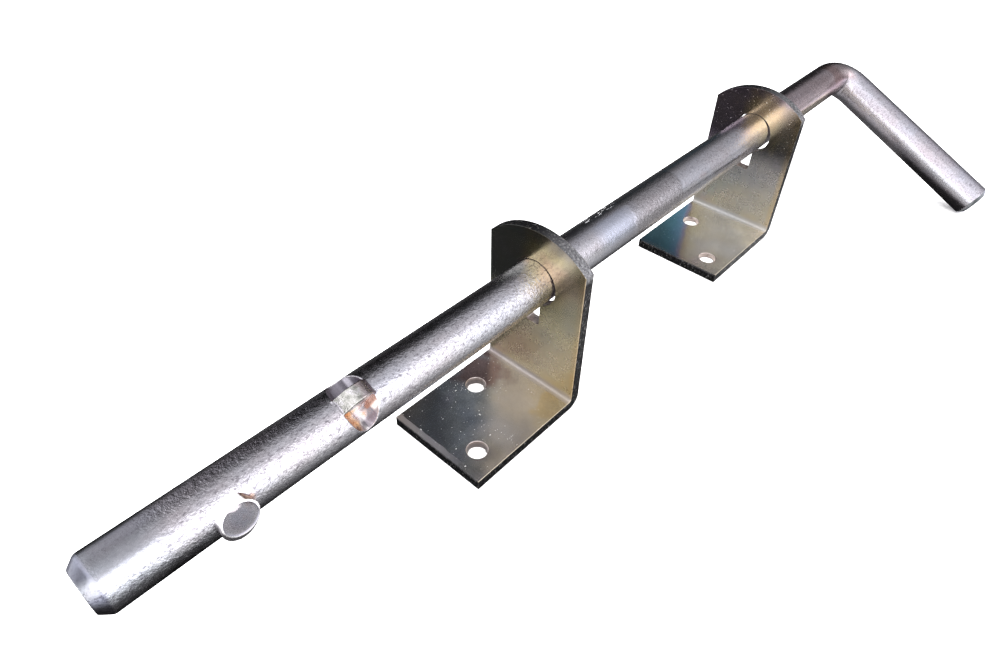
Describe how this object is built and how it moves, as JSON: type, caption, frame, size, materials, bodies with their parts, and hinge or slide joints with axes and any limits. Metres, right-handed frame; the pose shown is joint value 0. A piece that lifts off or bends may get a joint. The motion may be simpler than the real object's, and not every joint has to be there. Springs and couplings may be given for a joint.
{
  "type": "gate drop bolt",
  "caption": "Bent round drop bolt with a pinched lift ear and a stop pin, sliding and turning in keyhole angle brackets with fixing holes in their base plates.",
  "frame": {"origin": "middle of the lower bracket's mounting face", "axes": "+X along the bar from its nose to the handle, which is up when fitted to a gate; +Z away from the mounting faces; the handle rests towards -Y"},
  "size_m": [0.5, 0.1353, 0.084],
  "materials": {
    "bracket_steel": "yellow passivated zinc plating, slightly iridescent",
    "bar_steel": "zinc plated drawn bar with a mottled grain",
    "pin_steel": "smooth zinc plated end face"
  },
  "bodies": {
    "brackets": {"bracket_lower": "bracket_steel", "bracket_upper": "bracket_steel"},
    "nose": {"bolt_nose": "bar_steel"},
    "bolt": {"bolt_bar": "bar_steel", "stop_pin": "pin_steel"}
  },
  "joints": [
    {"name": "bolt_slide", "type": "slide", "parent": "brackets", "child": "nose", "axis": [1, 0, 0], "range_m": [-0.096, 0.088]},
    {"name": "bolt_turn", "type": "hinge", "parent": "nose", "child": "bolt", "pos_m": [0, 0, 0.06], "axis": [-1, 0, 0], "range_deg": [0, 231.9]}
  ]
}
